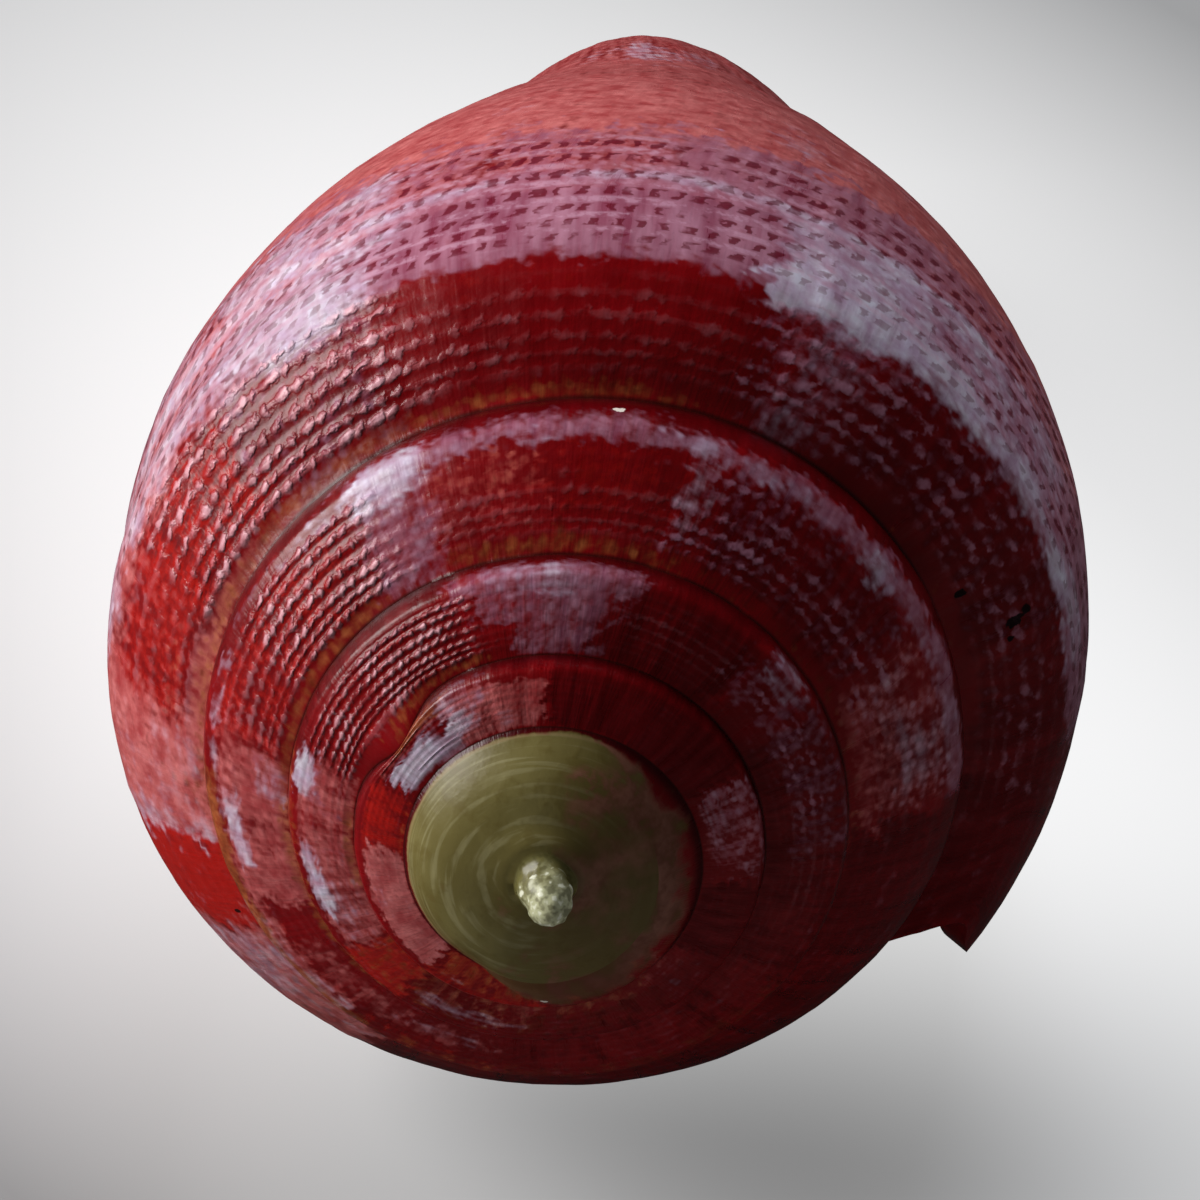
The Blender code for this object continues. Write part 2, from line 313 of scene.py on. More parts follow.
def dome_height(turn, radius):
    share = np.clip(radius / dome_edge(turn), 0.0, 1.0)
    return DOME_SWELLING * np.sin(math.pi * share**2.2)


def scar_step(turn, way):
    """How far the healed break pulls the whorl's edges in towards the axis."""
    above = hump(turn - 1.0, SCAR_TURN, SCAR_REACH) * eased((way - 1.0) / SCAR_FADES[0] + 1.0)
    below = hump(turn, SCAR_TURN, SCAR_REACH) * eased(1.0 - way / SCAR_FADES[1])
    return SCAR_STEP * (above + below)


def relief(turn, way):
    at_lower_seam = (1.0 - eased(np.abs(1.0 - way) / 0.04)) * eased((turn - 0.9) / 0.1)
    away_from_seams = eased(way / 0.04) * (1.0 - at_lower_seam)
    fading = eased((4.0 - turn) / 0.4)
    height = cord_height(turn, way) + growth_height(turn, way) * fading
    low, high = INSET_TURNS
    return (height - INSET * eased((high - turn) / (high - low))) * away_from_seams


def finished_path(turn, path, ways):
    """The outline with its relief on it."""
    path = path + relief(turn, ways)[:, None] * outward_of(path)
    step = scar_step(turn, ways)
    slope = SPIRE_SLOPE + 2.0 * SPIRE_CURVE * path[:, 0]
    return path - np.stack([step, step * slope + dome_height(turn, path[:, 0])], axis=1)


print("cord pitch on the last whorl is about", round(5.5 * (CORD_WAYS[4] - CORD_WAYS[3]), 2), "mm")

# %% [markdown]
# ## From outline to surface
#
# A flat grid is added for each stretch of shell, and each of its points is moved to its place: its column
# gives the turn and its row the place on the outline. A grid keeps the shell's surface in order, with edges
# along the growth lines and along the cords. Its UV map then stores turn and way, so that the colours can
# follow the shell's own growth.

# %% Placing a point of an outline in space
ROLL = math.radians(-34.4)
NOSE_DOWN = math.radians(14.3)
LIP_BULGE = 0.021
LIP_BULGE_START = 15.0
LIP_NOTCH = ((0.038, 12.15, 0.6), (-0.009, 13.25, 0.45), (0.010, 15.4, 1.3))  # (turns forward, depth, reach)
LIP_NOTCH_TURNS = 0.1
POSE = np.array(Matrix.Rotation(-NOSE_DOWN, 3, "X") @ Matrix.Rotation(-ROLL, 3, "Y"))


def near_lip(turn):
    """1 at the lip and beside it on the whorl before, and 0 a little way off."""
    back = np.maximum(turn, 0.0)
    return np.maximum(0.0, 1.0 - np.minimum(back, np.abs(back - 1.0)) / LIP_NOTCH_TURNS) ** 2


def swing(depth, turn):
    """Turns by which the growth lines run ahead at this depth. The lip has a shallow notch by its seam."""
    share = np.clip((depth - LIP_BULGE_START) / (LENGTH - LIP_BULGE_START), 0.0, 1.0)
    notch = sum(turns * hump(depth, at, reach) for turns, at, reach in LIP_NOTCH)
    return LIP_BULGE * np.sin(math.pi * share) + notch * near_lip(turn)


def placed(points, turn):
    """Where points of an outline lie in space, laid down, in mm."""
    angle = TWO_PI * (turn - swing(points[..., 1], turn))
    standing = np.stack([points[..., 0] * np.cos(angle), points[..., 1], points[..., 0] * np.sin(angle)], -1)
    return standing @ POSE.T


# %% A sheet that is wound on to the shell
def wound_sheet(name, places, growth):
    """A grid whose points go to places[column, row], in mm. growth[column, row] is its (turn, way)."""
    columns, rows = places.shape[0] - 1, places.shape[1] - 1
    select()
    bpy.ops.mesh.primitive_grid_add(x_subdivisions=columns, y_subdivisions=rows, size=1.0)
    sheet = bpy.context.object
    sheet.name = name
    mesh = sheet.data
    flat = np.empty(len(mesh.vertices) * 3)
    mesh.vertices.foreach_get("co", flat)
    flat = flat.reshape(-1, 3)
    column = np.rint((flat[:, 0] + 0.5) * columns).astype(int)
    row = np.rint((flat[:, 1] + 0.5) * rows).astype(int)
    mesh.vertices.foreach_set("co", (places[column, row] * MM).ravel())
    corner = np.empty(len(mesh.loops), int)
    mesh.loops.foreach_get("vertex_index", corner)
    layer = mesh.uv_layers[0]
    layer.name = "growth"
    layer.data.foreach_set("uv", growth[column[corner], row[corner]].ravel())
    return sheet


# %% The columns and rows of the spire and of the last whorl
TURN_STEPS = 300
LIP_STEPS = (0.0008, 0.0018)
WHORL_ROWS = 38
SIDE_ROWS = 84

one_turn = np.sort(np.concatenate([np.arange(TURN_STEPS) / TURN_STEPS, LIP_STEPS]))
whorl_ways = np.linspace(0.0, 1.0, WHORL_ROWS + 1)
side_shares = np.linspace(0.0, 1.0, SIDE_ROWS + 1) ** 1.25


def growth_of(turns, ways):
    """(turn, way) for every column and row."""
    return np.stack(np.meshgrid(turns, ways, indexing="ij"), -1)


def spire_table(turns):
    places = []
    for turn in turns:
        path = divided(outline(turn)[0], whorl_ways)
        places.append(placed(finished_path(turn, path, whorl_ways), turn))
    return np.array(places), growth_of(turns, whorl_ways)


last_ways = np.concatenate([whorl_ways, 1.0 + SIDE_WAYS * side_shares[1:]])


def last_path(turn):
    """The last whorl's outline with its relief, from the upper seam to the front end."""
    whorl, flank = outline(turn)
    path = np.vstack([divided(whorl, whorl_ways), divided(flank, side_shares)[1:]])
    return finished_path(turn, path, last_ways)


def last_table(turns):
    places = [placed(last_path(turn), turn) for turn in turns]
    return np.array(places), growth_of(turns, last_ways)


spire_turns = np.concatenate([one_turn + whole for whole in (1, 2, 3, 4)] + [[5.0]])
last_turns = np.concatenate([one_turn, [1.0]])
pieces = [
    wound_sheet("spire", *spire_table(spire_turns)),
    wound_sheet("last_whorl", *last_table(last_turns)),
]
print("spire and last whorl have", sum(len(piece.data.polygons) for piece in pieces), "faces")

# %% [markdown]
# ## The cap and its knob
#
# The first whorls of all are worn to a smooth cap. On its top stands the hatchling's own shell, a pale glassy
# knob, leaning a little to one side. Here the rows are rings, from the cap's rim to the tip.

# %% Cap and knob
KNOB = (
    (0.76, 0.00), (0.68, 0.07), (0.64, 0.18), (0.62, 0.30), (0.60, 0.42), (0.56, 0.55), (0.50, 0.67),
    (0.42, 0.78), (0.33, 0.87), (0.23, 0.94), (0.12, 0.985), (0.0, 1.0),
)
KNOB_FOOT = 0.9
KNOB_CURL = 0.07  # the hatchling's own seam winds round the knob
CAP_RINGS = 12
KNOB_LEAN = ((0.36, 0.27), (0.39, 0.095))  # (distance, turn it points to) at the knob's foot and tip
LEAN_REACH = 0.9  # how far out the cap leans along
TIP_MARGIN = 0.06


def leaning(share):
    """The knob's middle line, sideways from the axis, from its foot (0) to its tip (1)."""
    ends = [distance * round_way(to) for distance, to in KNOB_LEAN]
    return ends[0] + (ends[1] - ends[0]) * share


def cap_table(turns):
    radii = np.linspace(KNOB_FOOT, suture(CAP_TURN)[0], CAP_RINGS + 1)
    knob = np.array(KNOB)
    knob_share = knob[:, 1] / knob[-1, 1]
    middle = np.array([leaning(share) for share in knob_share])
    ways = np.concatenate([np.linspace(0.0, -1.0, CAP_RINGS + 1), -1.001 - 0.999 * knob_share])
    places = []
    for turn in turns:
        direction = round_way(turn)
        depth = spire_depth(radii) - dome_height(turn, radii)
        lean = 1.0 - eased((radii - KNOB_FOOT) / LEAN_REACH)
        flat = radii[:, None] * direction + lean[:, None] * leaning(0.0)
        cap = np.stack([flat[:, 0], depth, flat[:, 1]], -1)
        top = depth[0]
        curl = 1.0 - KNOB_CURL * hump(np.mod(turn + 1.6 * knob_share, 1.0), 0.5, 0.13) * eased(4.0 * knob_share)
        lumps = 1.0 + 0.05 * np.sin(TWO_PI * (3.0 * turn + 1.4 * knob_share))
        lumps += 0.035 * np.sin(TWO_PI * (7.0 * turn - 2.2 * knob_share)) * eased(3.0 * knob_share)
        flat = (knob[:, 0] * curl * lumps)[:, None] * direction + middle
        cone = np.stack([flat[:, 0], top + (TIP_MARGIN - top) * knob_share, flat[:, 1]], -1)
        places.append(np.vstack([cap[::-1], cone]) @ POSE.T)
    return np.array(places), growth_of(5.0 + turns, ways)


pieces.append(wound_sheet("cap", *cap_table(last_turns)))

# %% [markdown]
# ## Closing the body
#
# A wall across the mouth and one across the front end make the sheets a closed body, so that a Boolean can
# hollow it afterwards. Most of that wall disappears again with the hollow.

# %% Mouth wall and front end
FRONT_DIMPLE = 1.0
FRONT_RINGS = 8
FRONT_WAYS = 0.6  # from the front end's rim to its middle
MOUTH_COLUMNS = 6
CROWDED_ROWS = 6
EDGE_WAY = 0.4  # the lip's own thickness is coloured like the shell at this way


def closing_tables():
    lip, first = last_path(0.0), last_path(1.0)
    row = np.arange(len(last_ways)) - WHORL_ROWS
    crowded = np.rint((row + WHORL_ROWS) * CROWDED_ROWS / WHORL_ROWS)  # the lip is longer than what it faces
    first = first[WHORL_ROWS + np.where(row < 0, crowded, np.maximum(row, CROWDED_ROWS)).astype(int)]
    across = np.linspace(0.0, 1.0, MOUTH_COLUMNS + 1)[:, None, None]
    wall = placed(lip + (first - lip) * across, 0.0)
    rim = np.vstack([last_table(last_turns)[0][:, -1], wall[::-1][1:, -1]])
    middle = placed(np.array([0.0, LENGTH - FRONT_DIMPLE]), 0.0)
    inward = np.linspace(0.0, 1.0, FRONT_RINGS + 1)[None, :, None]
    return wall, rim[:, None] * (1 - inward) + middle * inward


for name, table in zip(("wall", "front"), closing_tables()):
    blank = np.zeros(table.shape[:2] + (2,))
    blank[..., 1] = EDGE_WAY
    if name == "front":
        blank[: len(last_turns), :, 0] = last_turns[:, None]
        blank[..., 1] = 1.0 + SIDE_WAYS + FRONT_WAYS * np.linspace(0.0, 1.0, FRONT_RINGS + 1)
    pieces.append(wound_sheet(name, table, blank))


def joined(objects, name, merge):
    """One closed object from sheets that meet at their edges."""
    select(*objects[1:], objects[0])  # the last one selected is the one that the others join
    bpy.ops.object.join()
    bpy.ops.object.mode_set(mode="EDIT")
    bpy.ops.mesh.select_all(action="SELECT")
    bpy.ops.mesh.remove_doubles(threshold=merge)
    bpy.ops.mesh.dissolve_degenerate(threshold=merge)
    bpy.ops.mesh.normals_make_consistent(inside=False)
    bpy.ops.mesh.select_all(action="DESELECT")
    bpy.ops.mesh.select_non_manifold()
    bpy.ops.object.mode_set(mode="OBJECT")
    whole = bpy.context.object
    whole.name = name
    open_edges = sum(vertex.select for vertex in whole.data.vertices)
    print(name, "has", len(whole.data.polygons), "faces and", open_edges, "points on open edges")
    return whole


MERGE = 0.004 * MM
shell = joined(pieces, "cone_shell", MERGE)

# %% [markdown]
# ## Where it has been rubbed
#
# The shell rests on the belly of its last whorl and on the edge of its lip. Both are rubbed flat there, in
# one level plane, so it lies still. Whatever would stand lower is pushed up to that plane.

# %% Worn flats
WORN = 0.12


def wear_flat(obj):
    flat_places = np.empty(len(obj.data.vertices) * 3)
    obj.data.vertices.foreach_get("co", flat_places)
    places = flat_places.reshape(-1, 3)
    flat = places[:, 2].min() + WORN * MM
    print("points in the worn flats:", int((places[:, 2] < flat).sum()))
    places[:, 2] = np.maximum(places[:, 2], flat)
    obj.data.vertices.foreach_set("co", places.ravel())


wear_flat(shell)

# %% [markdown]
# ## The hollow
#
# The animal lives in a narrow, winding space behind the mouth. Its walls follow the same outline, moved in
# by the shell's thickness, so it is swept by the same rule and cut away.

# %% The hollow's cutter
LIP_WALL = 0.65
DEEP_WALL = 1.05
DEEP_WALL_TURNS = 0.4
GLAZE = 0.3
GLAZE_START = -0.05
GLAZE_TURNS = 0.15
MOUTH_CLEARANCE = 0.03
HOLLOW_TURNS = 0.9
HOLLOW_START = 0.9
HOLLOW_CORNER = 0.45
CANAL_DEPTH = 46.5
CANAL_TURNS = 0.2
CLOSED_DEPTH = 41.0
CLOSING = 9.0
HOLLOW_STEPS = 72
HOLLOW_ROWS = 26


def ended(path, depth):
    """The path cut off or carried on, so that it ends at this depth."""
    path = path[path[:, 1] < min(depth, LENGTH - 0.01)]
    slope = (path[-1] - path[-2]) / (path[-1, 1] - path[-2, 1])
    return np.vstack([path, path[-1] + slope * (depth - path[-1, 1])])


def hollow_loop(turn):
    """The hollow's outer and inner edge at this turn, each from its upper corner to its lower end."""
    back = max(turn, 0.0)
    wall = LIP_WALL + (DEEP_WALL - LIP_WALL) * eased(back / DEEP_WALL_TURNS)
    glaze = GLAZE_START + (GLAZE - GLAZE_START) * eased(back / GLAZE_TURNS)
    shell_side = np.vstack([outline(turn)[0], outline(turn)[1][1:]])
    outer = shell_side - wall * outward_of(shell_side)
    pillar = outline(turn + 1.0)[1]
    inner = pillar + glaze * outward_of(pillar)
    outer = outer[np.argmax(outer[:, 0] > suture(turn)[0] + HOLLOW_START) :]
    inner = inner[inner[:, 1] > outer[0, 1] + HOLLOW_CORNER]
    end = CANAL_DEPTH + (CLOSED_DEPTH - CANAL_DEPTH) * eased(back / CANAL_TURNS) - CLOSING * back
    shares = np.linspace(0.0, 1.0, HOLLOW_ROWS + 1)
    return [divided(ended(path, end), shares) for path in (outer, inner)]


hollow_turns = np.linspace(-MOUTH_CLEARANCE, HOLLOW_TURNS, HOLLOW_STEPS + 1)
loops = [hollow_loop(turn) for turn in hollow_turns]
walls = [np.array([placed(loop[k], turn) for loop, turn in zip(loops, hollow_turns)]) for k in (0, 1)]
strips = walls + [np.stack([wall[i] for wall in walls]) for i in (0, -1)]
strips += [np.stack([wall[:, i] for wall in walls]) for i in (0, -1)]
cutter_sheets = []
for i, strip in enumerate(strips):
    growth = np.zeros(strip.shape[:2] + (2,))
    if strip.shape[0] == len(hollow_turns):
        growth[..., 0] = hollow_turns[:, None]
    cutter_sheets.append(wound_sheet(f"hollow_{i}", strip, growth))
cutter = joined(cutter_sheets, "hollow", MERGE)

# %% [markdown]
# ## Cutting, then setting the shell in its place
#
# The cutter's faces keep their own material when they become the inside of the shell, so inside and outside
# can have different finishes on one mesh.

# %% Two material slots, the cut, and the placing
outside = bpy.data.materials.new("polished_shell")
inside = bpy.data.materials.new("mouth_enamel")
shell.data.materials.append(outside)
cutter.data.materials.append(inside)


def apply_modifier(obj, kind, **settings):
    modifier = obj.modifiers.new(kind.lower(), kind)
    for name, value in settings.items():
        setattr(modifier, name, value)
    select(obj)
    bpy.ops.object.modifier_apply(modifier=modifier.name)


outer_points = np.array([vertex.co for vertex in shell.data.vertices])
low, high = outer_points.min(axis=0), outer_points.max(axis=0)
middle = (np.array(NODE_LOW) + np.array(NODE_HIGH)) / 2.0
drop = Vector((middle[0] - (low[0] + high[0]) / 2.0, middle[1] - (low[1] + high[1]) / 2.0, NODE_LOW.z - low[2]))
for obj in (shell, cutter):
    obj.data.transform(Matrix.Translation(drop))

apply_modifier(shell, "BOOLEAN", operation="DIFFERENCE", object=cutter, solver="EXACT", material_mode="TRANSFER")
bpy.data.objects.remove(cutter)
select(shell)
bpy.ops.object.shade_smooth_by_angle(angle=math.radians(50.0))
shell.data.calc_loop_triangles()
print("shell has", len(shell.data.loop_triangles), "triangles and", len(shell.data.materials), "materials")
print("moved by", [round(value / MM, 3) for value in drop])

# %% [markdown]
# ## Where the pigments lie
#
# The lip lays down colour as it grows, so a change of pigment shows as a flame across the whorl, and a gland
# that is always busy shows as a band along it. Each pigment gets a list of such patches, each from one turn to
# another and from one way to another, with how well it covers. The lists are turned into one number per face
# corner for each pigment. The material breaks their soft edges up into streaks and freckles later. Three lists
# also hold painted light: the white one painted highlights on the shoulders, the lilac one a painted reflection
# of the sky in the gloss, and the wine one painted shade by the seams and on the last turn's dark underside.

# %% Patches: (first turn, last turn, upper way, lower way, cover)
PATCH_UNITS = (1000.0, 1000.0, 100.0, 100.0, 100.0)  # turns in thousandths, ways and cover in hundredths
# White pigment, and partly a painted highlight: the bright streaks along the shoulders and the pale ridge just
# below the last shoulder stand for the gloss.
WHITE_AND_GLEAM = (
    (425, 492, 0, 55, 16), (425, 492, 55, 115, 36), (440, 470, 50, 98, 42), (515, 555, 60, 73, 55),
    (460, 520, 72, 82, 50), (400, 520, 56, 66, 28), (242, 290, 55, 74, 112), (205, 262, 64, 78, 100),
    (235, 285, 80, 125, 25), (246, 272, 0, 55, 30), (215, 290, 74, 92, 30), (130, 215, 64, 74, 66),
    (415, 600, 64, 175, 50), (150, 250, 56, 130, 46), (250, 290, 70, 130, 42), (100, 147, 58, 84, 55),
    (700, 775, 10, 85, 42), (648, 690, 30, 60, 12), (642, 658, 0, 150, 60), (598, 642, 10, 150, 25),
    (596, 622, 0, 16, 40), (180, 560, 121, 133, 50), (235, 300, 200, 280, 30), (385, 412, 210, 250, 30),
    (290, 400, 530, 590, 30), (560, 600, 60, 140, 22), (20, 90, 70, 220, 22), (870, 930, 50, 500, 25),
    (215, 262, 290, 440, 34), (500, 540, 210, 360, 36), (560, 600, 360, 560, 34), (700, 740, 150, 420, 36),
    (330, 360, 460, 620, 30), (780, 800, 440, 640, 30), (1612, 1652, 40, 56, 85), (1675, 1752, 50, 74, 35),
    (1580, 1600, 60, 68, 50), (1590, 1640, 55, 62, 45), (1540, 1580, 61, 70, 65), (1490, 1535, 65, 72, 35),
    (1590, 1606, 0, 28, 42), (1415, 1457, 0, 95, 34), (1416, 1452, 50, 80, 75), (1415, 1500, 60, 68, 62),
    (1566, 1579, 44, 66, 42), (1360, 1420, 60, 67, 40), (1300, 1375, 62, 68, 20), (1282, 1296, 18, 68, 45),
    (1250, 1303, 59, 71, 52), (1150, 1252, 59, 67, 40), (1190, 1206, 48, 67, 50), (1080, 1162, 28, 68, 32),
    (1138, 1160, 4, 27, 28), (1758, 1822, 21, 36, 32), (1930, 1950, 5, 30, 25), (2645, 2703, 0, 56, 30),
    (2617, 2672, 44, 61, 72), (2553, 2587, 46, 70, 75), (2585, 2600, 0, 30, 25), (2440, 2512, 56, 66, 30),
    (2340, 2375, 4, 40, 22), (2335, 2416, 50, 84, 34), (2180, 2212, 8, 90, 12), (2180, 2212, 52, 92, 35),
    (2755, 2845, 32, 51, 35), (2100, 2180, 28, 52, 18), (2960, 3000, 0, 46, 20), (3600, 3737, 0, 58, 16),
    (3615, 3700, 38, 60, 20), (3472, 3525, 9, 44, 75), (3440, 3475, 0, 30, 45), (3424, 3446, 18, 46, 62),
    (3400, 3450, 45, 70, 25), (3430, 3480, 45, 90, 15), (3408, 3440, 70, 90, 30), (3085, 3168, 10, 90, 26),
    (3855, 3866, 44, 61, 70), (3355, 3400, 0, 30, 20), (3462, 3530, 5, 44, 40), (3758, 3780, 44, 56, 25),
)
# Lilac pigment, and partly a painted reflection: the lilac band along the shoulders stands for the sky mirrored in
# the gloss.
LILAC_AND_SHEEN = (
    (80, 425, 62, 130, 78), (290, 425, 60, 105, 45), (420, 520, 62, 125, 45), (90, 240, 10, 66, 22),
    (230, 330, 60, 190, 45), (50, 140, 66, 160, 35), (100, 470, 125, 195, 55), (460, 640, 140, 250, 45),
    (480, 560, 260, 480, 25), (700, 860, 120, 260, 40), (150, 300, 360, 580, 25), (420, 490, 0, 64, 35),
    (236, 280, 0, 60, 45), (1080, 1425, 59, 73, 75), (1412, 1458, 0, 84, 60), (1080, 1300, 12, 60, 26),
    (1580, 1610, 0, 30, 40), (1305, 1420, 72, 84, 40), (2318, 2380, 0, 32, 62), (2305, 2398, 30, 56, 60),
    (2300, 2417, 54, 88, 66), (2080, 2225, 20, 90, 36), (2550, 2590, 40, 70, 45), (2580, 2703, 10, 50, 25),
    (3468, 3530, 5, 50, 50), (3085, 3168, 8, 90, 45), (3400, 3450, 30, 70, 35),
)
SALMON = (
    (598, 656, 0, 150, 85), (520, 602, 56, 140, 66), (545, 602, 0, 56, 25), (420, 535, 60, 140, 50),
    (80, 640, 180, 340, 80), (100, 700, 330, 520, 66), (0, 660, 510, 780, 60), (120, 540, 110, 195, 60),
    (0, 165, 66, 260, 40), (696, 778, 0, 80, 80), (500, 655, 0, 13, 50), (490, 560, 62, 130, 30),
    (640, 820, 80, 310, 50), (680, 930, 300, 780, 52), (840, 960, 100, 300, 25), (1578, 1675, 0, 62, 62),
    (1675, 1752, 46, 80, 62), (1455, 1580, 8, 62, 22), (1080, 1166, 3, 67, 42), (1268, 1296, 18, 62, 35),
    (1355, 1455, 12, 60, 35), (1700, 1830, 15, 42, 45), (2550, 2703, 0, 62, 60), (2750, 2850, 0, 52, 35),
    (2400, 2520, 54, 66, 20), (3598, 3738, 0, 60, 85), (3395, 3530, 45, 80, 40), (3350, 3446, 0, 62, 58),
    (3085, 3168, 5, 90, 42), (3860, 4000, 45, 100, 35), (2840, 3020, 0, 30, 30),
)
ORANGE = (
    (420, 790, 0, 10, 60), (0, 420, 0, 6, 30), (300, 420, 0, 9, 40), (700, 778, 10, 85, 42), (780, 1000, 0, 6, 40),
    (560, 660, 10, 30, 30), (1000, 2000, 0, 10, 34), (1290, 1412, 0, 16, 30), (1355, 1412, 32, 60, 30),
    (1600, 1740, 0, 12, 50), (1455, 1600, 0, 9, 40), (1600, 1762, 58, 100, 78), (1762, 2000, 50, 100, 42),
    (2000, 3000, 0, 8, 28), (2575, 2655, 0, 15, 50), (2400, 2505, 2, 12, 40), (2555, 2745, 66, 100, 50),
    (2700, 2960, 5, 60, 40), (3530, 3605, 0, 10, 50), (3440, 3505, 55, 95, 75), (3740, 3990, 0, 60, 45),
    (3860, 3960, 0, 45, 50),
)
# Wine pigment, and partly painted shade: the patches on the lower ramps next to the seams and over the last turn's
# underside darken where shade falls.
WINE_AND_SHADE = (
    (0, 235, 9, 65, 68), (778, 1000, 0, 700, 60), (520, 548, 280, 490, 32), (168, 190, 300, 560, 45),
    (300, 318, 500, 660, 40), (640, 665, 240, 590, 45), (0, 100, 0, 160, 50), (275, 410, 12, 30, 25),
    (240, 420, 2, 10, 25), (1170, 1285, 9, 60, 78), (1295, 1355, 10, 100, 35), (1000, 1082, 0, 100, 80),
    (1830, 2000, 0, 100, 50), (1000, 1412, 71, 100, 98), (1456, 1560, 71, 100, 90), (1412, 1456, 84, 100, 60),
    (275, 410, 36, 58, 30), (1100, 1290, 0, 9, 35), (2220, 2335, 0, 100, 82), (2000, 2182, 0, 100, 72),
    (2415, 2552, 14, 56, 35), (2412, 2560, 69, 100, 98), (2560, 2640, 85, 100, 50), (2300, 2412, 90, 100, 85),
    (2845, 3000, 20, 100, 60), (3172, 3350, 0, 100, 90), (3350, 3600, 70, 100, 60), (3000, 3080, 0, 100, 80),
    (3865, 3990, 50, 90, 40),
)
SCARLET = (
    (648, 702, 0, 120, 85), (485, 622, 12, 60, 60), (702, 776, 25, 90, 30), (300, 400, 42, 62, 25),
    (1460, 1580, 10, 62, 50), (1290, 1412, 20, 60, 35), (1560, 1900, 40, 100, 35), (2700, 2752, 0, 70, 80),
    (2415, 2552, 10, 60, 40), (2560, 2640, 66, 90, 45), (3738, 3865, 0, 100, 60), (3528, 3602, 0, 66, 65),
    (3300, 3392, 30, 70, 25),
)
ROUGH = (  # where the beads stand high
    (418, 545, 5, 66, 100), (545, 600, 10, 55, 30), (220, 418, 12, 50, 16), (380, 420, 15, 50, 30),
    (225, 275, 10, 55, 25), (60, 220, 15, 50, 10), (460, 560, 62, 130, 20), (1445, 1530, 5, 70, 100),
    (1530, 1575, 5, 60, 35), (1080, 1420, 14, 38, 18), (2405, 2492, 10, 68, 100), (2500, 2555, 10, 62, 80),
    (2050, 2300, 25, 50, 12), (3400, 3450, 15, 95, 40),
)
DOTTED = (  # where the beads are dyed lilac
    (225, 285, 4, 60, 90), (130, 235, 14, 56, 42), (60, 135, 20, 50, 22), (1240, 1296, 10, 60, 60),
    (1150, 1240, 14, 36, 40), (2110, 2230, 28, 52, 45),
)
WORN_CORDS = (  # where the cords are worn off or grown over
    (3400, 3560, 0, 100, 100), (2300, 2415, 0, 100, 55), (3000, 3400, 0, 100, 80), (3560, 4000, 0, 100, 80),
    (1280, 1420, 40, 100, 70), (280, 400, 45, 64, 70),
)
OLDER_SOFT = 0.012  # a pigment starts at once, and stops little by little
YOUNGER_SOFT = 0.026
SOFT_WAY = 0.13


def clouded(turn, way, seed):
    """A smooth, uneven value between about -1 and 1 over the unrolled shell."""
    parts = np.random.default_rng(seed).uniform(0.0, 1.0, (5, 3))
    total = 0.0
    for i, (phase, turn_part, way_part) in enumerate(parts):
        along = turn * (9.0 + 22.0 * turn_part * (i + 1))
        across = way * (0.6 + 1.6 * way_part * (i + 1))
        total = total + np.sin(TWO_PI * (phase + along + across))
    return total / len(parts)


def covered(patches, turn, way):
    """How well the patches cover each place, from 0 to 1, with soft, rounded and wandering edges."""
    bare = np.ones_like(turn)
    turn = turn + 0.009 * clouded(turn, way, 31) + 0.008 * clouded(2.1 * turn, 6.0 * way, 33)
    wandering = 0.06 * clouded(turn, way, 32) + 0.04 * clouded(3.3 * turn, 2.7 * way, 34)
    way = way + wandering * eased(way / 0.3) * (1.0 + 5.0 * eased((way - 1.3) / 1.2))
    for first, last, upper, lower, cover in np.array(patches) / PATCH_UNITS:
        near = np.flatnonzero((turn > first - YOUNGER_SOFT) & (turn < last + OLDER_SOFT))
        past_turn = np.maximum((first - turn[near]) / YOUNGER_SOFT, (turn[near] - last) / OLDER_SOFT) + 0.5
        past_way = np.maximum(upper - way[near], way[near] - lower) / SOFT_WAY + 0.5
        beyond = np.hypot(np.maximum(past_turn, 0.0), np.maximum(past_way, 0.0))
        bare[near] *= 1.0 - cover * eased(1.0 - beyond)
    return 1.0 - bare


# %% One number per corner for each pigment
DOME_RIM_SOFT = 0.05
FADED_RIM_SOFT = 0.45
FADING_SIDE = 0.03  # the side, as a share of a turn, where the dome's rim is least sharp


def olive_cover(turn, way):
    """1 on the dome, which is olive, and 0 off it."""
    inner = suture(np.minimum(turn, CAP_TURN))[..., 0]
    outer = suture(np.maximum(turn - 1.0, 0.0))[..., 0]
    on_cap = turn >= 5.0 - TINY
    radius = np.where(on_cap, KNOB_FOOT, inner + (outer - inner) * way)
    fraction = radius / dome_edge(turn)
    side_of = np.mod(turn, 1.0)
    ragged = 0.12 + 0.05 * wander(side_of, 21, 9.0)
    fading = eased(0.1 + np.cos(TWO_PI * (side_of - FADING_SIDE)))
    return eased((1.0 + ragged * fading - fraction) / (DOME_RIM_SOFT + FADED_RIM_SOFT * fading))


def paint(mesh, name, values):
    layer = mesh.attributes.new(name, "FLOAT", "CORNER")
    layer.data.foreach_set("value", values.astype(np.float32))
    print(f"{name:8} covers {100.0 * values.mean():5.1f} % of the corners")


flat_growth = np.empty(len(shell.data.loops) * 2)
shell.data.uv_layers["growth"].data.foreach_get("uv", flat_growth)
corner_turn, corner_way = flat_growth.reshape(-1, 2).T
PATCHED = {
    "white_and_gleam": WHITE_AND_GLEAM, "lilac_and_sheen": LILAC_AND_SHEEN, "salmon": SALMON, "orange": ORANGE, "wine_and_shade": WINE_AND_SHADE, "scarlet": SCARLET,
    "rough": ROUGH, "dotted": DOTTED, "worn_cords": WORN_CORDS,
}
for name, patches in PATCHED.items():
    paint(shell.data, name, covered(patches, corner_turn, corner_way))
paint(shell.data, "olive", olive_cover(corner_turn, corner_way))
paint(shell.data, "cord", cord_number(corner_turn, corner_way))

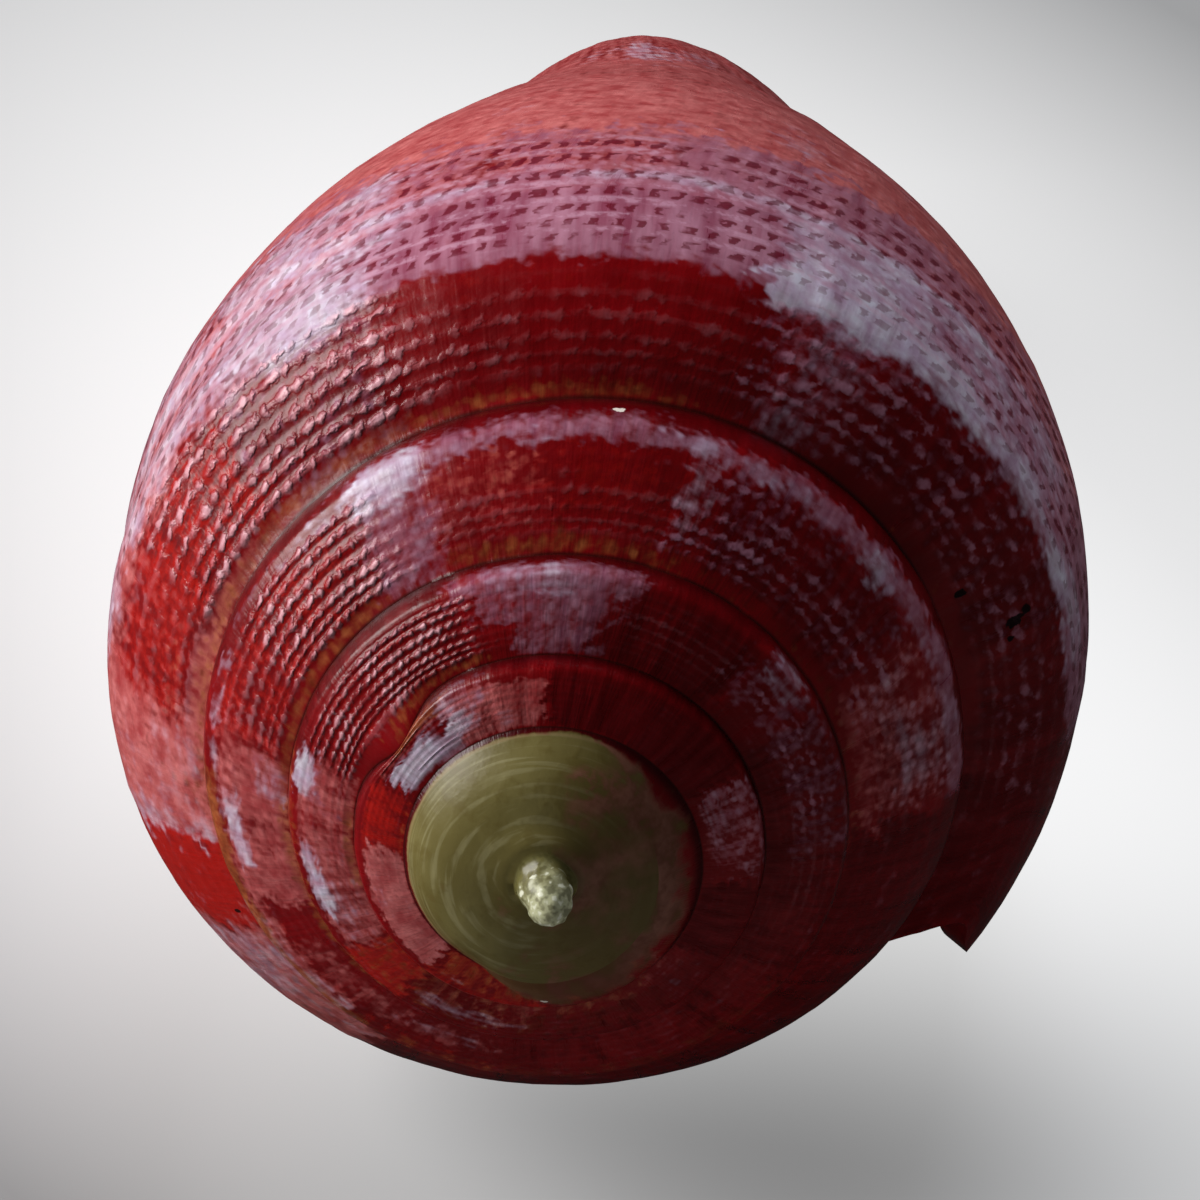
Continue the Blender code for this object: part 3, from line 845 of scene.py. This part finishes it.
# %% [markdown]
# ## Writing a material as sums
#
# A value that flows through a material is wrapped once. After that, plain sums written with it become Math
# nodes, and any other node is added with one method.

# %% A wrapped value
def fill(inputs, values):
    """Gives inputs their values: a flow is linked, and anything else is set."""
    for name, value in values.items():
        if isinstance(value, Flow):
            value.tree.links.new(value.socket, inputs[name])
        else:
            inputs[name].default_value = value


class Flow:
    """A value on its way through a material. Sums written with it become Math nodes."""

    def __init__(self, tree, socket=None):
        self.tree = tree
        self.socket = socket

    def node(self, kind, settings, inputs, output=0):
        """Adds a node, sets it, fills its inputs with values or links, and gives one of its outputs."""
        made = self.tree.nodes.new(kind)
        for name, value in settings.items():
            setattr(made, name, value)
        fill(made.inputs, inputs)
        return Flow(self.tree, made.outputs[output])

    def maths(self, operation, *others):
        return self.node("ShaderNodeMath", {"operation": operation}, dict(enumerate((self,) + others)))

    def __add__(self, other):
        return self.maths("ADD", other)

    def __sub__(self, other):
        return self.maths("SUBTRACT", other)

    def __rsub__(self, other):
        return self.node("ShaderNodeMath", {"operation": "SUBTRACT"}, {0: other, 1: self})

    def __mul__(self, other):
        return self.maths("MULTIPLY", other)

    def __truediv__(self, other):
        return self.maths("DIVIDE", other)

    __radd__ = __add__
    __rmul__ = __mul__

    def part(self, number):
        """One part of a vector: 0 is x and 1 is y."""
        return self.node("ShaderNodeSeparateXYZ", {}, {0: self}, number)

    def scaled(self, factor):
        return self.node("ShaderNodeVectorMath", {"operation": "SCALE"}, {0: self, "Scale": factor})

    def place(self):
        """The place on the object."""
        return self.node("ShaderNodeTexCoord", {}, {}, "Object")


def smooth(flow, low, high):
    """0 below low and 1 above high, with a soft change between."""
    settings = {"interpolation_type": "SMOOTHSTEP", "clamp": True}
    return flow.node("ShaderNodeMapRange", settings, {"Value": flow, "From Min": low, "From Max": high})


def noise(flow, scale, detail=2.0, roughness=0.5):
    """An even, cloudy value around 0.5, widened to fill 0 to 1."""
    settings = {"noise_dimensions": "3D"}
    inputs = {"Vector": flow, "Scale": scale, "Detail": detail, "Roughness": roughness}
    return smooth(flow.node("ShaderNodeTexNoise", settings, inputs), 0.25, 0.75)


def vector(x, y, z=0.0):
    return x.node("ShaderNodeCombineXYZ", {}, {0: x, 1: y, 2: z})


def linear(part):
    return part / 12.92 if part <= 0.04045 else ((part + 0.055) / 1.055) ** 2.4


def pigment(colour):
    """A colour as a shader wants it, from the 0 to 255 of a paint chart. A flow is one already."""
    return colour if isinstance(colour, Flow) else tuple(linear(part / 255.0) for part in colour) + (1.0,)


def mixed(factor, first, second):
    """The first colour where the factor is 0 and the second where it is 1."""
    inputs = {0: factor, 6: pigment(first), 7: pigment(second)}
    return factor.node("ShaderNodeMix", {"data_type": "RGBA"}, inputs, output=2)


def fresh(material):
    """A first flow to start from, and the inputs of the material's Principled shader."""
    material.use_nodes = True
    return Flow(material.node_tree), material.node_tree.nodes["Principled BSDF"].inputs


# %% [markdown]
# ## The outside: pigments, cords and beads
#
# The base is deep crimson. Over it, pigment after pigment is laid, each where its number beats a threshold
# made of three grains: cloudy patches, streaks along the growth lines, and the beads. So the edges of a flame
# break up the way they do on a real shell. The cords carry pale beads on the whorls' ramps, pale partly as a
# painted highlight, with painted shade in the grooves between them, and rows of dark dots run round the
# shoulder. The lower ramps and the creases of the seams are darkened as painted shade. The same cords, beads
# and streaks then give a little bump under the gloss.

# %% Coordinates and grains
BEADS_PER_TURN = 132.0

start, outer_inputs = fresh(outside)
growth_uv = start.node("ShaderNodeUVMap", {"uv_map": "growth"}, {})
turn, way = growth_uv.part(0), growth_uv.part(1)
in_mm = start.place().scaled(1.0 / MM)


def layer_of(name):
    return start.node("ShaderNodeAttribute", {"attribute_type": "GEOMETRY", "attribute_name": name}, {}, output=2)


cloud = noise(in_mm, 0.5, 3.0)
patchy = noise(in_mm, 1.7, 3.0, 0.6)
freckle = noise(in_mm, 4.5, 2.0, 0.6)
streak = noise(vector(turn * 150.0, way * 1.6), 1.0, 3.0)
hair = noise(vector(turn * 480.0, way * 3.0, 7.0), 1.0, 1.0)
cells = {"Vector": in_mm, "Scale": 3.4, "Smoothness": 0.4}
cell = start.node("ShaderNodeTexVoronoi", {"feature": "SMOOTH_F1"}, cells)
dapple = smooth(cell, 0.12, 0.62)
olive_part = layer_of("olive")
off_dome = 1.0 - smooth(olive_part, 0.3, 0.8)
cord = layer_of("cord")
row = (cord + 0.5).maths("FLOOR")
crest = (cord * TWO_PI).maths("COSINE")
bead_turn = turn * BEADS_PER_TURN + cord * 0.42 + row * 0.31 + (patchy - 0.5) * 0.7
bead = (bead_turn * TWO_PI).maths("COSINE")
threshold = 0.05 + 0.26 * patchy + 0.28 * streak + 0.20 * dapple + 0.10 * freckle + 0.08 * (0.5 - 0.5 * bead)


def laid(name, low=-0.30, high=0.30, grain=threshold):
    """Where a pigment really lies: where its cover beats the grain, and never where it has no cover at all."""
    cover = layer_of(name)
    return smooth(cover - grain, low, high) * smooth(cover, 0.0, 0.12)


print("grains are ready:", len(outside.node_tree.nodes), "nodes so far")

# %% Cords, beads, dots and seams
on_ramp = smooth(cord, 0.55, 0.95) * (1.0 - smooth(cord, 7.3, 7.8)) * off_dome
whole = 1.0 - 0.85 * layer_of("worn_cords")
rough = layer_of("rough")
broken = smooth(freckle + cloud, 0.35, 1.25)
cord_line = smooth(crest, 0.35, 0.95) * on_ramp * whole
knotted = 0.55 * crest + 0.40 * bead + 0.9 * (patchy - 0.5) + 0.5 * (freckle - 0.5)
knot = smooth(knotted, -0.05, 0.95) * on_ramp * whole
# net marks the pale beads; their paleness is partly their own and partly a painted highlight on their crests
net = (knot * (0.3 + 0.7 * rough)).maths("MAXIMUM", cord_line * 0.35 * broken)
uneven = 0.5 + 0.5 * smooth(patchy + cloud, 0.6, 1.3)
dyed = smooth(layer_of("dotted") + 0.5 * (patchy - 0.5), 0.1, 0.8)
# painted shade in the hollows between the cords and beads
groove_shade = smooth(0.0 - crest, -0.2, 0.9) * smooth(0.0 - bead, -0.5, 0.5) * on_ramp
on_shoulder = smooth(cord, 7.4, 8.0) * (1.0 - smooth(cord, 14.4, 15.2))
in_rows = on_shoulder * (1.0 - smooth(turn, 0.54, 0.60)) * smooth(turn, 0.04, 0.12)
# pale lines along the shoulder's cords between the rows of dots: partly a painted reflection on the cord crests
pale_line = smooth(0.0 - crest, 0.1, 0.9) * in_rows * smooth(freckle + cloud + patchy, 1.2, 2.0)
dot = smooth(crest, -0.20, 0.40) * smooth(0.0 - bead, -0.20, 0.50) * in_rows * smooth(patchy + cloud, 0.30, 0.95)
# Painted shade: the lower ramp of each spire whorl darkens towards its seam, and the seam's crease is darkened on
# both sides.
lower_ramp_shade = smooth(way, 0.70, 0.96) * smooth(turn, 1.0, 1.05)
seam_shade = 1.0 - smooth(way, 0.002, 0.022)
above_seam_shade = smooth(way, 0.965, 0.995) * smooth(turn, 1.0, 1.01)

# %% Pigments, one over the other
milky_grain = 0.02 + 0.34 * cloud + 0.22 * streak + 0.12 * dapple + 0.10 * freckle + 0.10 * (0.5 - 0.5 * crest)
# the white layer: pale pigment, and partly a painted highlight on the shoulders
milk_and_gleam = laid("white_and_gleam", -0.26, 0.40, milky_grain)


def painted(base, layers):
    """The base with each layer's colour on it where it covers, the topmost layer last."""
    for cover, colour in layers:
        base = mixed(cover, base, colour)
    return base


skin = painted(mixed(cloud, (108, 0, 5), (134, 2, 9)), (
    (laid("scarlet", -0.28, 0.28), (176, 20, 12)),
    (laid("salmon") * 0.85, mixed(patchy, (172, 66, 68), (226, 128, 126))),
    (laid("orange", -0.28, 0.28) * 0.9, mixed(patchy, (98, 26, 9), (186, 104, 56))),
    # wine, partly painted shade by the seams and on the underside
    (laid("wine_and_shade"), mixed(streak, (84, 0, 3), (110, 0, 7))),
    # lilac, partly a painted reflection of the sky
    (laid("lilac_and_sheen") * 0.8, mixed(streak, (132, 60, 84), (188, 134, 156))),
    # white glaze, partly a painted highlight
    (milk_and_gleam * (0.5 + 0.45 * streak), mixed(milk_and_gleam * patchy, (198, 174, 202), (230, 229, 243))),
    # pale beads, partly a painted highlight
    (net * uneven * (0.03 + 0.72 * rough), mixed(patchy, (214, 128, 140), (246, 190, 200))),
    (knot * dyed * uneven * 0.6, mixed(patchy, (136, 52, 86), (200, 140, 166))),
    # painted shade in the grooves
    (groove_shade * (0.05 + 0.45 * rough), (96, 0, 8)),
    # pale lines on the shoulder's cords, partly a painted reflection
    (pale_line * 0.38, (214, 168, 190)),
    (dot * (0.85 - 0.4 * milk_and_gleam), (102, 14, 33)),
    # painted shade on the lower ramps and in the creases of the seams
    (lower_ramp_shade * 0.8, (44, 1, 4)),
    (seam_shade.maths("MAXIMUM", above_seam_shade) * off_dome * 0.8, (53, 12, 8)),
))
print("pigments are laid:", len(outside.node_tree.nodes), "nodes so far")

# %% [markdown]
# ## The dome and the knob
#
# The dome has lost its red and is olive, khaki and a little mottled, with fine arcs that follow its growth.
# The arcs are brightened as a painted highlight on the lit side, and the far side is darkened as painted shade,
# with a reddish stain of its own by the rim. The knob on it is pale, yellowish and nearly clear, with painted
# glints on its facets.

# %% Olive dome, pale knob, dark specks
SPECKS = (  # (turn, way, half the length along the turn, half the width along the way)
    (0.1337, 0.330, 0.0022, 0.040), (0.1362, 0.405, 0.0020, 0.034), (0.1348, 0.368, 0.0012, 0.030),
    (0.1551, 0.132, 0.0016, 0.030), (0.1280, 0.300, 0.0012, 0.020), (0.6926, 0.208, 0.0010, 0.020),
)
CHIPS = ((1.3294, 0.806, 0.0026, 0.020), (3.8598, 0.472, 0.0040, 0.028))  # small white breaks in the surface
SHADED_DOME_SIDE = 0.08  # the side, as a share of a turn, where the dome is painted darkest as shade
arc = noise(vector(turn * 7.0, way * 9.0 + turn * 2.0, 3.0), 1.0, 3.0)
shaded_side = smooth(((turn - SHADED_DOME_SIDE) * TWO_PI).maths("COSINE"), -0.5, 1.0)
by_rim = 1.0 - smooth(olive_part + 0.5 * (cloud - 0.5), 0.80, 1.05)
stain = smooth(shaded_side + (patchy - 0.5), 0.30, 0.80) * by_rim
rim = smooth(olive_part, 0.35, 0.6) * (1.0 - smooth(olive_part, 0.75, 0.98))
olive = painted(mixed(cloud, (100, 89, 42), (122, 112, 64)), (
    # fine growth arcs, brightened as a painted highlight away from the shaded side
    (smooth(arc, 0.5, 0.95) * (0.30 - 0.24 * shaded_side), (170, 164, 122)),
    (smooth(patchy, 0.55, 0.95) * 0.4, (94, 79, 29)),
    # painted shade on the dome's far side
    (shaded_side * (0.45 + 0.3 * cloud), (80, 58, 18)),
    (rim * (0.5 - 0.5 * shaded_side), (158, 132, 92)),
    (stain * 0.8, mixed(patchy, (92, 34, 24), (146, 92, 78))),
    ((1.0 - smooth(turn, 3.90, 4.05)) * 0.65, (94, 38, 18)),
))
knob = 1.0 - smooth(way, -1.06, -0.97)
crystal = noise(in_mm, 5.0, 1.5, 0.6)
# painted highlights on the knob's facets
glint = smooth(1.0 - crystal, 0.66, 0.95) * (1.0 - smooth(way, -1.45, -1.15))
glassy = painted(mixed(smooth(way + 0.4 * (patchy - 0.5), -1.80, -1.15), (190, 190, 152), (104, 98, 56)), (
    (smooth(crystal, 0.45, 0.9) * 0.6, (80, 74, 40)),
    (glint * 0.8, (236, 236, 214)),
))


def spots(places):
    """Small ragged spots, each where both its distances run out."""
    cover = None
    for at_turn, at_way, reach, tall in places:
        x = (turn - at_turn) / reach
        y = (way - at_way) / tall
        spot = 1.0 - smooth(x * x + y * y + (freckle - 0.5) * 1.2, 0.7, 1.2)
        cover = spot if cover is None else cover.maths("MAXIMUM", spot)
    return cover


skin = painted(skin, (
    (smooth(olive_part - 0.4 * (patchy - 0.5), 0.22, 0.62), olive),
    (knob, glassy),
    (spots(SPECKS) * 0.95, (19, 10, 10)),
    (spots(CHIPS) * 0.9, (232, 222, 210)),
))
print("dome, knob and specks are laid:", len(outside.node_tree.nodes), "nodes so far")

# %% Gloss and fine bump
BEAD_HEIGHT = 0.068 * MM
SHINE = 0.27
round_cord = 0.5 + 0.5 * crest
round_bead = 0.5 + 0.5 * bead
bead_shape = 0.35 * round_cord * round_bead + 0.20 * round_cord + 0.60 * net
beads_up = (0.08 + 0.92 * rough) * on_ramp * whole * bead_shape
height = beads_up + off_dome * (0.08 * streak + 0.05 * hair) + 0.12 * patchy
bump = height.node("ShaderNodeBump", {}, {"Height": height, "Distance": BEAD_HEIGHT, "Strength": 1.0})
dullness = 0.40 - off_dome * (0.14 - 0.10 * streak) - 0.14 * knob
fill(outer_inputs, {"Base Color": skin, "Normal": bump, "Roughness": dullness, "Specular IOR Level": SHINE})
print("outside finish has", len(outside.node_tree.nodes), "nodes")

# %% [markdown]
# ## The inside of the mouth
#
# The inside is smooth porcelain: rosy white in the depth, and dark like the outside at the very edge of the
# lip, where the last layer is still thin.

# %% Mouth enamel
begin, inner_inputs = fresh(inside)
inner_uv = begin.node("ShaderNodeUVMap", {"uv_map": "growth"}, {})
veil = noise(begin.place().scaled(1.0 / MM), 0.6, 3.0)
enamel = mixed(veil, (206, 150, 146), (232, 200, 192))
enamel = mixed(1.0 - smooth(inner_uv.part(0), 0.02, 0.09), enamel, (40, 6, 8))
inner_bump = veil.node("ShaderNodeBump", {}, {"Height": veil, "Distance": 0.05 * MM, "Strength": 0.5})
fill(inner_inputs, {"Base Color": enamel, "Normal": inner_bump, "Roughness": 0.16 + 0.1 * veil})
print("inside finish has", len(inside.node_tree.nodes), "nodes")

# %% [markdown]
# ## Floor and light
#
# The shell lies on pale paper. A broad lamp on the left, a little behind, works like a window: it gives the
# long soft gleams on the whorls' left shoulders. A dim one behind and above lights the far side, and the room
# adds a little light from everywhere. The paper's paleness is its own glow, which only the camera sees well:
# it fades towards the picture's corners, and there is a soft shade under the near side of the shell.

# %% Floor
FLOOR_SIZE = 2.0
BRIGHTEST, DARKEST = 0.865, 0.05
BRIGHTEST_AT = (0.737, 0.295)  # as shares of the picture's width and height
FALL_X, FALL_Y, FALL_XY = 0.867, 1.218, 1.048  # how fast the picture darkens away from that place
SHADE = 0.54  # under the shell's near side
SHADE_AT = (7.4, -14.7)
SHADE_REACH = (12.7, 8.6)
GLOSSY_SHARE = 0.03  # the polished shell mirrors the paper more dimly than we see it
SEEN_RAYS = ("Is Camera Ray", "Is Glossy Ray", "Is Transmission Ray")
select()
bpy.ops.mesh.primitive_plane_add(size=FLOOR_SIZE)
floor = bpy.context.object
floor.name = "floor"
paper = bpy.data.materials.new("paper")
ground, paper_inputs = fresh(paper)
camera_ray, glossy_ray, clear_ray = (ground.node("ShaderNodeLightPath", {}, {}, ray) for ray in SEEN_RAYS)
direct = camera_ray + clear_ray
grain = noise(ground.place().scaled(30.0), 1.0)
tone = mixed(grain, (182, 181, 181), (188, 187, 187))
tone = mixed(direct, tone, (150, 150, 150))
tone = mixed(glossy_ray, tone, (28, 28, 28))


def away_from(vector_flow, at, reach=(1.0, 1.0)):
    """How far across and up a place is from a point, each counted in its reach."""
    return [(vector_flow.part(i) - at[i]) / reach[i] for i in (0, 1)]


x, y = away_from(ground.node("ShaderNodeTexCoord", {}, {}, "Window"), BRIGHTEST_AT)
fall_off = FALL_X * x * x + FALL_Y * y * y + FALL_XY * x * y
x, y = away_from(ground.place().scaled(1.0 / MM), SHADE_AT, SHADE_REACH)
shade = (0.0 - (x * x + y * y)).maths("EXPONENT")
bright = (BRIGHTEST - fall_off - SHADE * shade).maths("MAXIMUM", DARKEST)
glow = (direct + GLOSSY_SHARE * glossy_ray) * bright
fill(paper_inputs, {"Base Color": tone, "Emission Color": glow, "Emission Strength": 1.0})
fill(paper_inputs, {"Roughness": 0.85, "Specular IOR Level": 0.2})
floor.data.materials.append(paper)
print("the paper has", len(paper.node_tree.nodes), "nodes")

# %% Lights
AIM = Vector((0.0, 0.0, 12.0 * MM))  # the middle of the shell


def lamp(name, place, size, power, tint):
    select()
    bpy.ops.object.light_add(type="AREA", location=place)
    light = bpy.context.object
    light.name = name
    light.data.energy = power
    light.data.shape = "DISK"
    light.data.size = size
    light.data.color = tint
    light.rotation_euler = (AIM - Vector(place)).to_track_quat("-Z", "Y").to_euler()
    return light


lamp("window", (-0.42, 0.06, 0.23), 0.34, 3.2, (1.0, 0.99, 0.98))
sky = lamp("sky", (0.04, 0.40, 0.40), 0.30, 1.5, (0.90, 0.94, 1.0))
sky.visible_glossy = False  # it isn't mirrored in the gloss
world = bpy.data.worlds.new("room")
bpy.context.scene.world = world
world.use_nodes = True
mirrored = Flow(world.node_tree).node("ShaderNodeLightPath", {}, {}, "Is Glossy Ray")
strengths = {0: mirrored, 6: (0.100, 0.102, 0.108, 1.0), 7: (0.010, 0.010, 0.011, 1.0)}
room = mirrored.node("ShaderNodeMix", {"data_type": "RGBA"}, strengths, output=2)
fill(world.node_tree.nodes["Background"].inputs, {"Color": room})
bpy.context.scene.view_settings.view_transform = "Standard"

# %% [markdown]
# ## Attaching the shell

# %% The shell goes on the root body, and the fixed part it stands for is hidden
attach(shell, "root")
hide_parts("shell")
